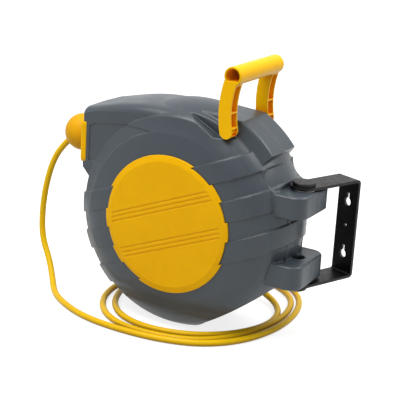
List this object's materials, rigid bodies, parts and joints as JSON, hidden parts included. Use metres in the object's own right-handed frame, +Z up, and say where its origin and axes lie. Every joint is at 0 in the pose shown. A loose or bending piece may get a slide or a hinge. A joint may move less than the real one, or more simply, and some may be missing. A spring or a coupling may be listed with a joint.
{
  "type": "retractable extension cord reel",
  "caption": "Self-winding extension cord reel: round split housing with side covers, spring drum, cord with stop ball and socket, folding carry handle and swivelling wall bracket.",
  "frame": {"origin": "on the small flat under the housing, straight below the drum axis", "axes": "+Z up, +Y along the drum axis toward the far side cover, the cord leaves toward -X and the wall bracket is hinged on the +X side"},
  "size_m": [0.4991, 0.3389, 0.394],
  "materials": {
    "housing_grey": "fine-textured moulded polypropylene, blue-grey",
    "cover_yellow": "smooth moulded plastic, golden yellow",
    "handle_yellow": "smooth moulded plastic, golden yellow",
    "ball_yellow": "moulded plastic, yellow",
    "cord_yellow": "extruded rubber sheath, yellow",
    "inner_cord": "layers of wound cable",
    "black_paint": "black powder coat, satin",
    "zinc_steel": "bright zinc plated steel",
    "black_plastic": "moulded plastic, black",
    "drum_black": "moulded plastic, dark grey",
    "white_acetal": "moulded acetal, off-white",
    "spring_steel": "rolled spring steel strip, blued",
    "brass": "turned brass",
    "carbon": "pressed carbon brush",
    "socket_rubber": "moulded rubber, black",
    "socket_face": "moulded plastic, dark grey"
  },
  "bodies": {
    "housing": {"near_shell": "housing_grey", "far_shell": "housing_grey", "shell_screws": "zinc_steel", "near_disc": "cover_yellow", "far_disc": "cover_yellow", "axle": "zinc_steel", "brush_holder": "white_acetal", "brush_line": "carbon", "brush_neutral": "carbon", "brush_earth": "carbon", "pawl_pin": "zinc_steel", "outlet_flange": "cover_yellow", "roller_frame": "zinc_steel", "roller_pins": "zinc_steel", "ball_near_half": "ball_yellow", "ball_far_half": "ball_yellow", "ball_screws": "zinc_steel", "handle_pin_near": "zinc_steel", "handle_pin_far": "zinc_steel", "supply_gland": "black_plastic", "cord_tail": "cord_yellow", "cord_lead": "cord_yellow", "socket_boot": "socket_rubber", "socket_body": "socket_rubber", "socket_insert": "socket_face"},
    "drum_unit": {"drum": "drum_black", "near_bush": "white_acetal", "far_bush": "white_acetal", "wound_cable": "inner_cord", "spring_case": "drum_black", "main_spring": "spring_steel", "ring_carrier": "white_acetal", "slip_ring_line": "brass", "slip_ring_neutral": "brass", "slip_ring_earth": "brass", "ratchet_wheel": "drum_black"},
    "wall_bracket": {"bracket": "black_paint", "top_pin": "black_paint", "lower_pin": "black_paint", "top_washer": "zinc_steel", "lower_washer": "zinc_steel", "top_clip": "zinc_steel", "lower_clip": "zinc_steel"},
    "carry_handle": {"handle": "handle_yellow"},
    "ratchet_pawl": {"pawl": "zinc_steel"},
    "roller_top": {"guide_roller_top": "white_acetal"},
    "roller_bottom": {"guide_roller_bottom": "white_acetal"},
    "roller_near": {"guide_roller_near": "white_acetal"},
    "roller_far": {"guide_roller_far": "white_acetal"}
  },
  "joints": [
    {"name": "bracket_swivel", "type": "hinge", "parent": "housing", "child": "wall_bracket", "pos_m": [0.171, 0, 0.16], "axis": [0, 0, 1], "range_deg": [-158, 22]},
    {"name": "handle_fold", "type": "hinge", "parent": "housing", "child": "carry_handle", "pos_m": [0.078, 0, 0.3035], "axis": [0, 1, 0], "range_deg": [-55, 90]},
    {"name": "drum_spin", "type": "hinge", "parent": "housing", "child": "drum_unit", "pos_m": [0, 0, 0.16], "axis": [0, 1, 0], "continuous": true},
    {"name": "pawl_pivot", "type": "hinge", "parent": "housing", "child": "ratchet_pawl", "pos_m": [0.072, 0.0355, 0.075], "axis": [0, 1, 0], "range_deg": [0, 25], "stiffness_Nm_per_rad": 0.01, "springref_deg": -28.65},
    {"name": "roller_top_spin", "type": "hinge", "parent": "housing", "child": "roller_top", "pos_m": [-0.149, 0, 0.2667], "axis": [0, 1, 0], "continuous": true},
    {"name": "roller_bottom_spin", "type": "hinge", "parent": "housing", "child": "roller_bottom", "pos_m": [-0.149, 0, 0.2423], "axis": [0, 1, 0], "continuous": true},
    {"name": "roller_near_spin", "type": "hinge", "parent": "housing", "child": "roller_near", "pos_m": [-0.135, -0.0122, 0.2545], "axis": [0, 0, 1], "continuous": true},
    {"name": "roller_far_spin", "type": "hinge", "parent": "housing", "child": "roller_far", "pos_m": [-0.135, 0.0122, 0.2545], "axis": [0, 0, 1], "continuous": true}
  ]
}
